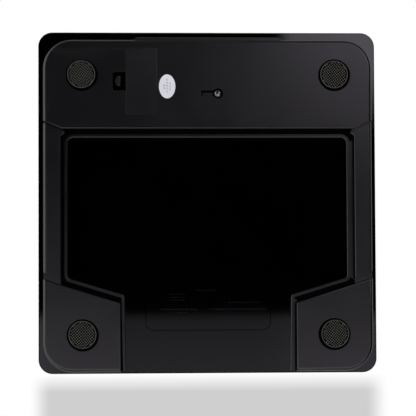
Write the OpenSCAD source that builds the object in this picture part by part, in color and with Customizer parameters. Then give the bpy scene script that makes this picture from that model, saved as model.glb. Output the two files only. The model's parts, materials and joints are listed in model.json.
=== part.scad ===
// Digital bathroom scale: tempered glass platform on a one-piece plastic casing.
// It lies as it is used: the floor is z = 0, +z is up and the display end is toward +y.
// The x and y origin is the middle of the glass. Lengths are in millimetres.

/* [Platform] */
// Width of the glass, left to right
glass_w = 300; // [298:1:310]
// Length of the glass, user end to display end
glass_l = 303; // [302:1:312]
// Thickness of the glass
glass_t = 6; // [5:0.5:8]
// Corner radius of the glass
glass_r = 12.5; // [8:0.5:20]

/* [Casing] */
// Depth of the casing below the glass
casing_h = 13.4; // [13.4:0.2:15]
// Outer corner radius of the casing
casing_r = 25; // [22:0.5:28]
// Rounding of the casing's lower outer edge
edge_r = 3; // [1.5:0.5:4]
// How much higher off the floor the side bars are than the pods
bar_step = 2; // [1:0.5:3]

/* [Feet] */
// How far the feet stand out below the casing
foot_drop = 3.5; // [3:0.1:5]
// Diameter of the hole that each foot hangs in
hole_d = 28; // [27.5:0.5:29]
// Diameter of the foot pads
pad_d = 25; // [23:0.5:25.5]

/* [Display] */
// Width of the clear window in the printed layer
window_w = 64; // [50:1:66]
// Length of the clear window in the printed layer
window_l = 28; // [20:1:30]

/* [Part to show] */
// One sub-part by name, or all of them

/* [Hidden] */
$fn = 72;

// Casing outline
casing_w = 291.2;
casing_front = 143.4;
casing_back = -149.8;
casing_l = casing_front - casing_back;
casing_mid = (casing_front + casing_back) / 2;
wall = 2;
lip_t = 2.2;

// Layers between the casing and the glass
tape_t = 0.4;
ink_t = 0.2;
tape_z = foot_drop + casing_h;
ink_z = tape_z + tape_t;
glass_z = ink_z + ink_t;

// Foot centres: front is the display end
front_x = 111.9;
front_y = 112.4;
rear_x = 111.3;
rear_y = -117;

// Battery bay and its cover
cover_x0 = 44.7;
cover_x1 = 72.8;
cover_y0 = 76.8;
cover_y1 = 136;
cover_t = 1.5;
cover_gap = 0.25;
bead_r = 0.65;
hook_y = [86, 127];
bay_x0 = 47.9;
bay_x1 = 69.7;
bay_y0 = 80.4;
bay_y1 = 132.4;
bay_wall = 1.3;
cell_d = 10.5;
cell_x = [53.4, 64.2];
cell_z = 7.05;
cell_body = 43.7;
cell_nub = 0.8;
latch_y0 = 98.3;
latch_y1 = 114.9;
latch_mid = 106.9;
latch_x1 = 84.4;

// Circuit board and display
board_x0 = -62;
board_x1 = 43.5;
board_y0 = 84;
board_y1 = 140.6;
board_z = 5.7;
board_t = 1.6;
board_top = board_z + board_t;
screw_spots = [[-57.5, 90], [-57.5, 131], [40.8, 90], [40.8, 129]];
lcd_y = 112;
lcd_w = 70;
lcd_l = 36;
button_x = -9.1;
button_y = 95.9;

// Arc of short chords that rounds the corner b between a and c by radius r
function unit(v) = v / norm(v);
function corner_arc(a, b, c, r, steps = 6) =
    let (u = unit(a - b), v = unit(c - b))
    let (half = acos(u * v) / 2)
    let (middle = b + unit(u + v) * r / sin(half))
    let (p = b + u * r / tan(half) - middle, q = b + v * r / tan(half) - middle)
    let (start = atan2(p[1], p[0]), turn = atan2(q[1], q[0]) - start)
    let (sweep = turn > 180 ? turn - 360 : turn < -180 ? turn + 360 : turn)
    [for (i = [0 : steps]) middle + r * [cos(start + sweep * i / steps), sin(start + sweep * i / steps)]];

// Closed outline from [x, y, r] corners, symmetric about x = 0: the corners given are the +x half
function mirrored(half) =
    concat(half, [for (i = [len(half) - 1 : -1 : 0]) [-half[i][0], half[i][1], half[i][2]]]);
function rounded(pts) = [
    for (i = [0 : len(pts) - 1])
        let (n = len(pts), a = pts[(i + n - 1) % n], b = pts[i], c = pts[(i + 1) % n])
        each (b[2] > 0
            ? corner_arc([a[0], a[1]], [b[0], b[1]], [c[0], c[1]], b[2])
            : [[b[0], b[1]]])
];

// Inner edge of the flange that lies against the glass, open at the user end
lip_opening = [[124, 57.4, 5], [124, -67, 3], [73.8, -82.2, 3], [72.5, -152, 0]];
// Foot of the walls that stand on the flange
wall_opening = [[129.5, 63.9, 3], [129.5, -72.8, 1], [77, -88.9, 2], [77, -152, 0]];

module rounded_rect(w, l, r) {
    square([w - 2 * r, l], center = true);
    square([w, l - 2 * r], center = true);
    for (x = [-1, 1]) {
        for (y = [-1, 1]) {
            translate([x * (w / 2 - r), y * (l / 2 - r)])
                circle(r);
        }
    }
}

// Cross-section of a slab with both lower edges rounded
module soft_section(w, h, e) {
    translate([-w / 2, e])
        square([w, h - e]);
    translate([-w / 2 + e, 0])
        square([w - 2 * e, h]);
    for (x = [-1, 1]) {
        translate([x * (w / 2 - e), e])
            circle(e);
    }
}

// Slab with rounded corners r and a rounded lower edge e
module soft_slab(w, l, h, r, e) {
    rotate([90, 0, 90])
        linear_extrude(w - 2 * r, center = true)
            soft_section(l, h, e);
    rotate([90, 0, 0])
        linear_extrude(l - 2 * r, center = true)
            soft_section(w, h, e);
    for (x = [-1, 1]) {
        for (y = [-1, 1]) {
            translate([x * (w / 2 - r), y * (l / 2 - r), 0])
                rotate_extrude()
                    intersection() {
                        soft_section(2 * r, h, e);
                        square([r, h]);
                    }
        }
    }
}

// Wire of diameter d swept through a list of points that never run straight up
function ring(p, t, d) =
    let (side = unit(cross(t, [0, 0, 1])), up = cross(side, t))
    [for (a = [0 : 45 : 315]) p + d / 2 * (side * cos(a) + up * sin(a))];
module wire(points, d) {
    last = len(points) - 1;
    rings = [
        for (i = [0 : last])
            let (back = unit(points[max(i, 1)] - points[max(i, 1) - 1]))
            let (ahead = unit(points[min(i, last - 1) + 1] - points[min(i, last - 1)]))
            each ring(points[i], unit(back + ahead), d / sqrt((1 + back * ahead) / 2))
    ];
    sides = [
        for (i = [0 : last - 1])
            for (k = [0 : 7])
                let (a = 8 * i + k, b = 8 * i + (k + 1) % 8)
                each [[a, b, b + 8], [a, b + 8, a + 8]]
    ];
    polyhedron(rings, concat(sides, [[7, 6, 5, 4, 3, 2, 1, 0], [for (k = [0 : 7]) 8 * last + k]]));
}

module foot_spots(front, rear) {
    for (x = [-1, 1]) {
        if (front) {
            translate([x * front_x, front_y, 0])
                children();
        }
        if (rear) {
            translate([x * rear_x, rear_y, 0])
                children();
        }
    }
}

module casing_outline() {
    translate([0, casing_mid])
        rounded_rect(casing_w, casing_l, casing_r);
    polygon([
        [-66.5, 140], [66, 140], [66, casing_front], [63, 145.9], [-63.5, 145.9], [-66.5, casing_front]
    ]);
}

// The hollows between the walls, seen from above
module hollows() {
    intersection() {
        translate([0, casing_mid])
            rounded_rect(casing_w - 2 * wall, casing_l - 2 * wall, casing_r - wall);
        union() {
            polygon([[-128.5, 65.9], [128.5, 65.9], [150, 74.5], [150, 150], [-150, 150], [-150, 74.5]]);
            for (x = [-1, 1]) {
                polygon([[x * 150, -68.6], [x * 79, -90.4], [x * 79, -150], [x * 150, -150]]);
                translate([x * 138.25, -1])
                    square([13.5, 154], center = true);
            }
        }
    }
}

// Everything below the side bars' own face, and the grooves at their ends
module bar_relief(x) {
    translate([0, 0, -1])
        linear_extrude(bar_step + 1)
            polygon([[x * 120, 62.5], [x * 152, 73.3], [x * 152, -65.9], [x * 120, -75.7]]);
    translate([0, 0, -1])
        linear_extrude(bar_step + 3) {
            polygon([[x * 120, 62.5], [x * 152, 73.3], [x * 152, 72.5], [x * 120, 59.9]]);
            polygon([[x * 120, -71.3], [x * 152, -60.7], [x * 152, -65.9], [x * 120, -75.7]]);
        }
}

module glass_plate() {
    color([0.75, 0.85, 0.85, 0.4])
        translate([0, 0, glass_z]) {
            translate([0, 0, 1])
                linear_extrude(glass_t - 2)
                    rounded_rect(glass_w, glass_l, glass_r);
            linear_extrude(glass_t)
                rounded_rect(glass_w - 1.6, glass_l - 1.6, glass_r - 0.8);
        }
}

module print_layer() {
    color([0.02, 0.02, 0.02])
        translate([0, 0, ink_z])
            linear_extrude(ink_t)
                difference() {
                    rounded_rect(glass_w - 1.6, glass_l - 1.6, glass_r - 0.8);
                    translate([0, lcd_y])
                        rounded_rect(window_w, window_l, 1.5);
                }
}

// Foam tape on the flange, the wall tops and the sensor brackets
module mount_tape() {
    color([0.05, 0.05, 0.05])
        translate([0, 0, tape_z])
            linear_extrude(tape_t) {
                difference() {
                    casing_outline();
                    hollows();
                    polygon(rounded(mirrored(lip_opening)));
                }
                foot_spots(true, true)
                    difference() {
                        square(40, center = true);
                        square(28, center = true);
                    }
            }
}

// Box around the two cells, open toward the floor
module bay_block() {
    translate([bay_x0 - bay_wall, bay_y0 - bay_wall, 0.5])
        cube([bay_x1 - bay_x0 + 2 * bay_wall, bay_y1 - bay_y0 + 2 * bay_wall, casing_h - 0.5]);
    translate([cover_x0 - 2, cover_y0 - 1.6, 0.5])
        cube([cover_x1 - cover_x0 + 3.4, cover_y1 - cover_y0 + 3.2, 3]);
    translate([cover_x1 - 1.5, latch_y0 - wall, 0.5])
        cube([latch_x1 - cover_x1 + 3.1, latch_y1 - latch_y0 + 2 * wall, 7.5]);
}

module bay_cuts() {
    // Seat for the cover
    translate([cover_x0, cover_y0, -1])
        cube([cover_x1 - cover_x0, cover_y1 - cover_y0, cover_t + 1]);
    // Room for the cells
    translate([bay_x0, bay_y0, 0])
        cube([bay_x1 - bay_x0, bay_y1 - bay_y0, casing_h - 0.95]);
    // Pockets for the cover's two hooks
    for (y = hook_y) {
        translate([cover_x0 - 1.9, y - 3.3, cover_t])
            cube([5.4, 6.6, 3.4]);
    }
    // Finger recess for the latch
    translate([(cover_x1 + latch_x1) / 2 - 1, (latch_y0 + latch_y1) / 2, -1])
        linear_extrude(7.4)
            rounded_rect(latch_x1 - cover_x1 + 2, latch_y1 - latch_y0, 2.4);
    // Slots for the two contact tabs
    for (x = cell_x) {
        translate([x - 1.7, bay_y1 - 1, 8.6])
            cube([3.4, 4, 1.2]);
    }
}

module casing() {
    color([0.13, 0.13, 0.14])
        translate([0, 0, foot_drop])
            difference() {
                union() {
                    difference() {
                        union() {
                            translate([0, casing_mid, 0])
                                soft_slab(casing_w, casing_l, casing_h, casing_r, edge_r);
                            translate([0, 0, 2])
                                linear_extrude(casing_h - 2)
                                    casing_outline();
                        }
                        translate([0, 0, -1])
                            linear_extrude(casing_h + 2)
                                polygon(rounded(mirrored(lip_opening)));
                        translate([0, 0, -1])
                            linear_extrude(casing_h - lip_t + 1)
                                polygon(rounded(mirrored(wall_opening)));
                        translate([0, 0, bar_step + 4])
                            linear_extrude(casing_h)
                                hollows();
                        translate([0, 0, wall])
                            linear_extrude(casing_h)
                                difference() {
                                    hollows();
                                    for (x = [-1, 1]) {
                                        translate([x * 138, -1])
                                            square([22, 160], center = true);
                                    }
                                }
                        for (x = [-1, 1]) {
                            bar_relief(x);
                            translate([x * 138.25, 0, bar_step + wall])
                                translate([-6.75, -54, 0])
                                    cube([13.5, 108, casing_h]);
                        }
                    }
                    bay_block();
                    // Pillars under the circuit board
                    for (p = screw_spots) {
                        translate([p[0], p[1], 0.5])
                            cylinder(h = board_z - 0.5, d = 4.8);
                    }
                    // Thicker ground around the unit button
                    translate([button_x, button_y, 0.5])
                        cylinder(h = 1.9, d = 13);
                    // Rings that guide the feet
                    foot_spots(true, true)
                        translate([0, 0, 0.5])
                            cylinder(h = 4.3, d = 35.4);
                }
                bay_cuts();
                for (p = screw_spots) {
                    translate([p[0], p[1], 1.6])
                        cylinder(h = 10, d = 1.8);
                }
                foot_spots(true, true) {
                    translate([0, 0, -1])
                        cylinder(h = 10, d = hole_d);
                    translate([0, 0, wall])
                        cylinder(h = 10, d = 31.8);
                }
                // Keyhole recess and the unit button's hole
                translate([button_x, button_y, -1])
                    cylinder(h = 2.2, d = 9.4);
                translate([button_x, button_y - 2.75, -1])
                    cube([6 - button_x, 5.5, 2.2]);
                translate([button_x, button_y, -1])
                    cylinder(h = 5, d = 6.4);
            }
}

// Blank label on the printed side of the glass
module spec_label() {
    color([0.05, 0.05, 0.055])
        translate([0, -91, ink_z - 0.15])
            linear_extrude(0.15)
                rounded_rect(112, 46, 3);
}

// Oval sticker beside the battery cover
module check_sticker() {
    color([0.9, 0.9, 0.92])
        translate([36.1, 102, foot_drop - 0.12])
            linear_extrude(0.12)
                polygon([for (a = [0 : 6 : 354]) [7.25 * cos(a), 10.65 * sin(a)]]);
}

// Cover with two fixed hooks on one side and a sprung U-shaped latch on the other
module battery_cover() {
    color([0.12, 0.12, 0.13])
        translate([0, 0, foot_drop]) {
            translate([cover_x0 + cover_gap + bead_r, cover_y0 + cover_gap, 0])
                cube([
                    cover_x1 - cover_x0 - 2 * cover_gap - bead_r,
                    cover_y1 - cover_y0 - 2 * cover_gap,
                    2 * bead_r
                ]);
            // Round edge that the cover rolls on as it opens
            translate([cover_x0 + cover_gap + bead_r, cover_y0 + cover_gap, bead_r])
                rotate([-90, 0, 0])
                    cylinder(h = cover_y1 - cover_y0 - 2 * cover_gap, r = bead_r);
            for (y = hook_y) {
                translate([cover_x0 + cover_gap + 0.4, y - 2.5, cover_t - 0.4])
                    cube([1.5, 5, 1.2]);
                translate([cover_x0 - 1.2, y - 2.5, cover_t + 0.25])
                    cube([3.35, 5, 0.8]);
            }
            translate([0, latch_mid + 4, 0])
                rotate([90, 0, 0])
                    linear_extrude(8) {
                        translate([72.4, 0])
                            square([1, 3.3]);
                        difference() {
                            translate([75, 3.3])
                                circle(2.6);
                            translate([75, 3.3])
                                circle(1.6);
                            translate([70, 0])
                                square([10, 3.3]);
                        }
                        translate([76.6, 0.9])
                            square([1, 2.4]);
                    }
            translate([77, latch_mid, 0.6])
                linear_extrude(1)
                    intersection() {
                        circle(4.7);
                        translate([0, -5])
                            square([6, 10]);
                    }
        }
}

module cell(x, flip) {
    translate([x, flip ? 125.5 : 87.4, foot_drop + cell_z])
        rotate([flip ? 90 : -90, 0, 0]) {
            cylinder(h = cell_body, d = cell_d);
            cylinder(h = cell_body + cell_nub, d = 3.8);
        }
}

module cell_left() {
    color([0.2, 0.35, 0.25])
        cell(cell_x[0], false);
}

module cell_right() {
    color([0.2, 0.35, 0.25])
        cell(cell_x[1], true);
}

// Plate that joins the two cells at the user end of the bay
module contact_link() {
    color([0.8, 0.8, 0.78])
        translate([bay_x0 + 0.8, bay_y0, foot_drop + 2.6])
            cube([bay_x1 - bay_x0 - 1.6, 0.4, 8.8]);
}

module end_contact(x) {
    color([0.8, 0.8, 0.78])
        translate([x, bay_y1, foot_drop]) {
            translate([-4.5, -0.4, 2.6])
                cube([9, 0.4, 8.8]);
            translate([-1.4, -0.4, 9])
                cube([2.8, 2.4, 0.4]);
        }
}

module contact_plus() {
    end_contact(cell_x[0]);
}

module contact_minus() {
    end_contact(cell_x[1]);
}

// Coil of wire between a contact and the flat end of a cell
module coil(length) {
    turns = 4;
    wire([
        for (i = [0 : 14 * turns])
            [2.9 * cos(360 * i / 14), 2.9 * sin(360 * i / 14), 0.46 + (length - 0.92) * i / (14 * turns)]
    ], 0.9);
}

module spring_left() {
    color([0.8, 0.8, 0.78])
        translate([cell_x[0], bay_y0 + 0.4, foot_drop + cell_z])
            rotate([-90, 0, 0])
                coil(6.6);
}

module spring_right() {
    color([0.8, 0.8, 0.78])
        translate([cell_x[1], 125.5, foot_drop + cell_z])
            rotate([-90, 0, 0])
                coil(6.5);
}

// Two wires from the battery contacts to the circuit board
module battery_leads() {
    color([0.6, 0.1, 0.1])
        translate([0, 0, foot_drop]) {
            wire([[53.4, 134.6, 9.9], [53.4, 135.1, 8.6], [46, 135.1, 8.2], [40, 133.6, 7.8]], 1);
            wire([[64.2, 134.6, 9.9], [64.2, 136.4, 8.6], [46, 136.4, 8.2], [38.4, 135.6, 7.8]], 1);
        }
}

module main_board() {
    color([0.1, 0.35, 0.18])
        translate([0, 0, foot_drop + board_z])
            difference() {
                translate([board_x0, board_y0, 0])
                    cube([board_x1 - board_x0, board_y1 - board_y0, board_t]);
                for (p = screw_spots) {
                    translate([p[0], p[1], -1])
                        cylinder(h = 5, d = 2.4);
                }
            }
}

// Cap of black resin over the bare chip
module chip_cap() {
    color([0.05, 0.05, 0.05])
        translate([-50, 108, foot_drop + board_top])
            rotate_extrude()
                intersection() {
                    translate([0, -11])
                        circle(12.6);
                    square([7, 3]);
                }
}

module crystal() {
    color([0.75, 0.75, 0.77])
        translate([-50, 121, foot_drop + board_top + 1.6])
            rotate([0, 90, 0])
                cylinder(h = 8, d = 3.2, center = true);
}

module capacitor() {
    color([0.3, 0.3, 0.35])
        translate([-50, 95, foot_drop + board_top])
            cylinder(h = 5, d = 5);
}

module switch_body() {
    color([0.7, 0.7, 0.72])
        translate([button_x, button_y, foot_drop + board_z - 1.3])
            difference() {
                translate([-2.25, -2.25, 0])
                    cube([4.5, 4.5, 1.3]);
                translate([0, 0, -0.5])
                    cylinder(h = 1.6, d = 2.6);
            }
}

module switch_stem() {
    color([0.9, 0.9, 0.88])
        translate([button_x, button_y, foot_drop + 3.9])
            cylinder(h = 1.05, d = 2);
}

// Domed button with a flange that keeps it in the casing
module unit_button() {
    color([0.7, 0.7, 0.72])
        translate([button_x, button_y, foot_drop]) {
            rotate_extrude()
                intersection() {
                    translate([0, 5.5])
                        circle(5.1);
                    square([2.9, 3.3]);
                }
            translate([0, 0, 2.7])
                cylinder(h = 0.6, d = 8.2);
            translate([0, 0, 3.3])
                cylinder(h = 0.6, d = 3);
        }
}

module lcd_holder() {
    color([0.85, 0.85, 0.83])
        translate([0, lcd_y, foot_drop + board_top])
            difference() {
                linear_extrude(5.6)
                    square([lcd_w + 6, lcd_l + 6], center = true);
                translate([0, 0, 3.2])
                    linear_extrude(5)
                        square([lcd_w + 0.4, lcd_l + 0.4], center = true);
                translate([0, 0, -1])
                    linear_extrude(8)
                        square([61, 27], center = true);
                for (y = [-1, 1]) {
                    translate([0, y * (lcd_l / 2 - 2.2), -1])
                        linear_extrude(8)
                            square([64.4, 2.4], center = true);
                }
            }
}

module lcd_panel() {
    color([0.55, 0.62, 0.58])
        translate([0, lcd_y, foot_drop + board_top + 3.2])
            linear_extrude(2.2)
                square([lcd_w, lcd_l], center = true);
}

module lcd_backlight() {
    color([0.9, 0.93, 0.9])
        translate([0, lcd_y, foot_drop + board_top])
            linear_extrude(2.8)
                square([60, 26], center = true);
}

module zebra(y) {
    color([0.85, 0.55, 0.6])
        translate([0, lcd_y + y * (lcd_l / 2 - 2.2), foot_drop + board_top])
            linear_extrude(3.2)
                square([64, 2], center = true);
}

module zebra_upper() {
    zebra(1);
}

module zebra_lower() {
    zebra(-1);
}

module screw(i) {
    color([0.7, 0.7, 0.72])
        translate([screw_spots[i][0], screw_spots[i][1], foot_drop])
            difference() {
                union() {
                    translate([0, 0, 2])
                        cylinder(h = board_top - 2, d = 1.8);
                    translate([0, 0, board_top])
                        cylinder(h = 1.3, d = 3.8);
                }
                for (a = [0, 90]) {
                    translate([0, 0, board_top + 1])
                        rotate([0, 0, a])
                            cube([2.4, 0.5, 1.2], center = true);
                }
            }
}

module screw_1() {
    screw(0);
}

module screw_2() {
    screw(1);
}

module screw_3() {
    screw(2);
}

module screw_4() {
    screw(3);
}

// Frame that holds a load cell by its rim and is taped to the glass
module bracket() {
    color([0.2, 0.2, 0.21])
        translate([0, 0, foot_drop])
            difference() {
                translate([-21, -21, 5.6])
                    cube([42, 42, casing_h - 5.6]);
                translate([-17.2, -17.2, 7.1])
                    cube([34.4, 34.4, 1.8]);
                translate([-13.5, -13.5, 8])
                    cube([27, 27, 10]);
                translate([-16, -17.2, 5])
                    cube([32, 34.4, 3]);
                translate([-17.2, -10, 5])
                    cube([34.4, 20, 3]);
                translate([-3, 10, 9.4])
                    cube([6, 12, 8]);
            }
}

module bracket_fl() {
    translate([-front_x, front_y, 0])
        bracket();
}

module bracket_fr() {
    translate([front_x, front_y, 0])
        bracket();
}

module bracket_rl() {
    translate([-rear_x, rear_y, 0])
        bracket();
}

module bracket_rr() {
    translate([rear_x, rear_y, 0])
        bracket();
}

// Stamped steel plate: a rim and a tongue in the middle that bends under load
module load_cell() {
    color([0.7, 0.71, 0.73])
        translate([0, 0, foot_drop + 7.1])
            linear_extrude(1.6)
                difference() {
                    rounded_rect(34, 34, 3);
                    translate([-9, -11])
                        square([2.4, 21]);
                    translate([6.6, -11])
                        square([2.4, 21]);
                    translate([-9, -11])
                        square([18, 2.4]);
                }
}

module load_cell_fl() {
    translate([-front_x, front_y, 0])
        load_cell();
}

module load_cell_fr() {
    translate([front_x, front_y, 0])
        load_cell();
}

module load_cell_rl() {
    translate([-rear_x, rear_y, 0])
        load_cell();
}

module load_cell_rr() {
    translate([rear_x, rear_y, 0])
        load_cell();
}

// Sealed strain gauge on the tongue
module gauge() {
    color([0.92, 0.92, 0.9])
        translate([0, 5, foot_drop + 8.7])
            linear_extrude(1)
                rounded_rect(9, 7, 1.5);
}

module gauge_fl() {
    translate([-front_x, front_y, 0])
        gauge();
}

module gauge_fr() {
    translate([front_x, front_y, 0])
        gauge();
}

module gauge_rl() {
    translate([-rear_x, rear_y, 0])
        gauge();
}

module gauge_rr() {
    translate([rear_x, rear_y, 0])
        gauge();
}

// Cup that stands in the casing's hole, kept in by its flange, and pushes on the tongue
module foot_cup() {
    color([0.16, 0.16, 0.17]) {
        translate([0, 0, foot_drop - 0.7])
            cylinder(h = 4.2, d = pad_d - 0.4);
        translate([0, 0, foot_drop + 2.3])
            cylinder(h = 1.2, d = 31);
        translate([0, 0, foot_drop + 3.5])
            cylinder(h = 3.6, d = 9);
    }
}

module foot_cup_fl() {
    translate([-front_x, front_y, 0])
        foot_cup();
}

module foot_cup_fr() {
    translate([front_x, front_y, 0])
        foot_cup();
}

module foot_cup_rl() {
    translate([-rear_x, rear_y, 0])
        foot_cup();
}

module foot_cup_rr() {
    translate([rear_x, rear_y, 0])
        foot_cup();
}

// Silicone pad that stands on the floor
module foot_pad() {
    color([0.3, 0.3, 0.28]) {
        translate([0, 0, 0.6])
            cylinder(h = foot_drop - 1.3, d = pad_d);
        cylinder(h = 0.6, d1 = pad_d - 1.2, d2 = pad_d);
    }
}

module foot_pad_fl() {
    translate([-front_x, front_y, 0])
        foot_pad();
}

module foot_pad_fr() {
    translate([front_x, front_y, 0])
        foot_pad();
}

module foot_pad_rl() {
    translate([-rear_x, rear_y, 0])
        foot_pad();
}

module foot_pad_rr() {
    translate([rear_x, rear_y, 0])
        foot_pad();
}

// Three side-by-side wires from a front gauge along the casing's front wall
module front_leads(x, end_x) {
    color([0.75, 0.1, 0.1])
        translate([0, 0, foot_drop])
            for (i = [-1, 0, 1]) {
                wire([
                    [x * front_x - x * 1.2 * i, front_y + 8.5, 9.4],
                    [x * front_x - x * 1.2 * i, front_y + 11.5, 10.6],
                    [x * front_x - x * 1.2 * i, 139 - 1.2 * i, 10.6],
                    [end_x + x * 7, 139 - 1.2 * i, 9.6],
                    [end_x, 138.2 - 1.2 * i, 7.85]
                ], 1);
            }
}

// Three side-by-side wires from a rear gauge, through the side bar and along the front hollow
module rear_leads(x, end_x) {
    color([0.75, 0.1, 0.1])
        translate([0, 0, foot_drop])
            for (i = [-1, 0, 1]) {
                wire([
                    [x * rear_x + x * 1.2 * i, rear_y + 8.5, 9.4],
                    [x * rear_x + x * 1.2 * i, rear_y + 11.5, 10.6],
                    [x * rear_x + x * 1.2 * i, -91 - 1.2 * i, 10.6],
                    [x * 138 + x * 1.2 * i, -78 - 1.2 * i, 10.6],
                    [x * 138 + x * 1.2 * i, 72 + 1.2 * i, 10.6],
                    [end_x + x * 1.2 * i, 72 + 1.2 * i, 10.6],
                    [end_x + x * 1.2 * i, 82.5, 9.6],
                    [end_x + x * 1.2 * i, 86.5, 7.85]
                ], 1);
            }
}

module leads_fl() {
    front_leads(-1, -55);
}

module leads_fr() {
    front_leads(1, 37);
}

module leads_rl() {
    rear_leads(-1, -49);
}

module leads_rr() {
    rear_leads(1, 33);
}

glass_plate();
print_layer();
mount_tape();
casing();
spec_label();
check_sticker();
battery_cover();
cell_left();
cell_right();
contact_link();
contact_plus();
contact_minus();
spring_left();
spring_right();
battery_leads();
main_board();
chip_cap();
crystal();
capacitor();
switch_body();
switch_stem();
unit_button();
lcd_holder();
lcd_panel();
lcd_backlight();
zebra_upper();
zebra_lower();
screw_1();
screw_2();
screw_3();
screw_4();
bracket_fl();
bracket_fr();
bracket_rl();
bracket_rr();
load_cell_fl();
load_cell_fr();
load_cell_rl();
load_cell_rr();
gauge_fl();
gauge_fr();
gauge_rl();
gauge_rr();
foot_cup_fl();
foot_cup_fr();
foot_cup_rl();
foot_cup_rr();
foot_pad_fl();
foot_pad_fr();
foot_pad_rl();
foot_pad_rr();
leads_fl();
leads_fr();
leads_rl();
leads_rr();
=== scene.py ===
"""Bathroom scale seen from below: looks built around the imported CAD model.

Tables are in millimetres in the CAD frame: +z is up, +y is the display end, the floor is z = 0.
A depth is measured up from the casing's face, which is FACE above the floor.
"""
import json
import math

import bpy
from mathutils import Matrix, Vector
from mathutils.geometry import tessellate_polygon


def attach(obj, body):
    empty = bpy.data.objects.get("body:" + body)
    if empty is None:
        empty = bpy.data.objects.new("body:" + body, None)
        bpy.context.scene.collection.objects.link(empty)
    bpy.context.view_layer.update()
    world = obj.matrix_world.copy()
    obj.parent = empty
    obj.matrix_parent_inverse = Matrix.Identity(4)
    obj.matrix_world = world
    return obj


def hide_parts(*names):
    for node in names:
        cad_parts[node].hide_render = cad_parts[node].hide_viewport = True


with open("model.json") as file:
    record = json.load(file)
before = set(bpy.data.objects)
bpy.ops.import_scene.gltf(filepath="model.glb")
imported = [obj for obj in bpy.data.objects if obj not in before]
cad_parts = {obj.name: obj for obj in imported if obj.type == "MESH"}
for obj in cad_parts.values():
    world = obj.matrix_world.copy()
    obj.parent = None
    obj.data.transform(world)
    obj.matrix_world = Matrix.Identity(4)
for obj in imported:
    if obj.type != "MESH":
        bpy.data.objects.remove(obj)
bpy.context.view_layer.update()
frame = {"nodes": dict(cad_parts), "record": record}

MM = 0.001
FACE = 3.5
# Depths of the casing's top and of the lower face of its flange
CASING_H, LIP = 13.4, 11.2

# Casing outline: half width, display end, user end, corner radius
HALF_W, FRONT, BACK, CORNER_R = 145.6, 143.4, -149.8, 25.0
# Right half of the opening that shows the black glass: x, y, corner radius
LIP_HALF = [(124, 57.4, 5), (124, -67, 3), (73.8, -82.2, 3), (72.5, -149.5, 0)]
# Smooth strip of the flange, free of the painted shade on the rest of it: how far from the opening it starts
# and ends
STRIP = (1.0, 3.0)

# Feet, and the holes they stand in: mouth, how far it lies off the foot's middle, and the well behind it
FEET = {"fl": (-111.9, 112.4), "fr": (111.9, 112.4), "rl": (-111.3, -117.0), "rr": (111.3, -117.0)}
HOLE_R, HOLE_DEPTH = 14.0, 2
HOLE_SHIFT = (-0.35, -0.35)
WELL_R, WELL_DEPTH = 15.9, 4.8
# Middles of the pads' grips: distance along a row and between rows
GRIP_PITCH = (2.45, 1.3)

# Opening of the battery cover and the bay behind it: x from, x to, y from, y to
DOOR = (44.7, 72.8, 76.8, 136.0)
BAY = (47.9, 69.7, 80.4, 132.4)
SEAT, BAY_ROOF, COVER_GAP = 1.5, 12.45, 0.25
# Pockets for the cover's hooks: middles, half width, end, roof
HOOK_Y = (86.0, 127.0)
POCKET_HALF, POCKET_X, POCKET_ROOF = 3.3, 42.8, 4.9
# Latch recess: y from and to, x from and to, corner radius, depth, middle of the latch
LATCH_Y = (98.3, 114.9)
LATCH_X0, LATCH_X1, LATCH_R, LATCH_DEPTH, LATCH_MID = 70.8, 84.4, 2.4, 6.4, 106.9

# Keyhole recess: middle, radius, half width and end of its slot, depth, radius of the button's bore
KEY = (-9.1, 95.9)
KEY_R, KEY_SLOT, KEY_END, KEY_DEPTH, BORE_R = 4.7, 2.75, 6.0, 1.2, 3.2

# Glass: half width, half length, corner radius, height of its underside
GLASS = (150.0, 151.5, 12.5, 17.5)
# Underside of the ink on the glass, then the middle of the display along y and the height of its digits
INK_UNDERSIDE = 17.3
LCD_Y, SEGMENTS_Z = 112.0, 16.22

# Depths at which the rounded edges are sampled, as fractions of the largest radius
STEPS = [0, 0.004, 0.016, 0.036, 0.066, 0.1, 0.15, 0.215, 0.3, 0.43, 0.6, 0.8, 1.0]


# ---------------------------------------------------------------- outlines

def unit(x, y):
    length = math.hypot(x, y)
    return x / length, y / length


def rounded(corners, steps=8):
    """Outline from (x, y, radius, edge kind) corners; the kind is that of the edge that leaves the corner."""
    points, kinds = [], []
    n = len(corners)
    for i, (bx, by, r, kind) in enumerate(corners):
        ax, ay = corners[i - 1][:2]
        cx, cy = corners[(i + 1) % n][:2]
        if not r:
            points.append((bx, by))
            kinds.append(kind)
            continue
        u, v = unit(ax - bx, ay - by), unit(cx - bx, cy - by)
        half = math.acos(u[0] * v[0] + u[1] * v[1]) / 2
        mid = unit(u[0] + v[0], u[1] + v[1])
        ox, oy = bx + mid[0] * r / math.sin(half), by + mid[1] * r / math.sin(half)
        reach = r / math.tan(half)
        start = math.atan2(by + u[1] * reach - oy, bx + u[0] * reach - ox)
        turn = math.atan2(by + v[1] * reach - oy, bx + v[0] * reach - ox) - start
        turn = (turn + math.pi) % (2 * math.pi) - math.pi
        for k in range(steps + 1):
            a = start + turn * k / steps
            points.append((ox + r * math.cos(a), oy + r * math.sin(a)))
            kinds.append(kind)
    return points, kinds


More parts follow.
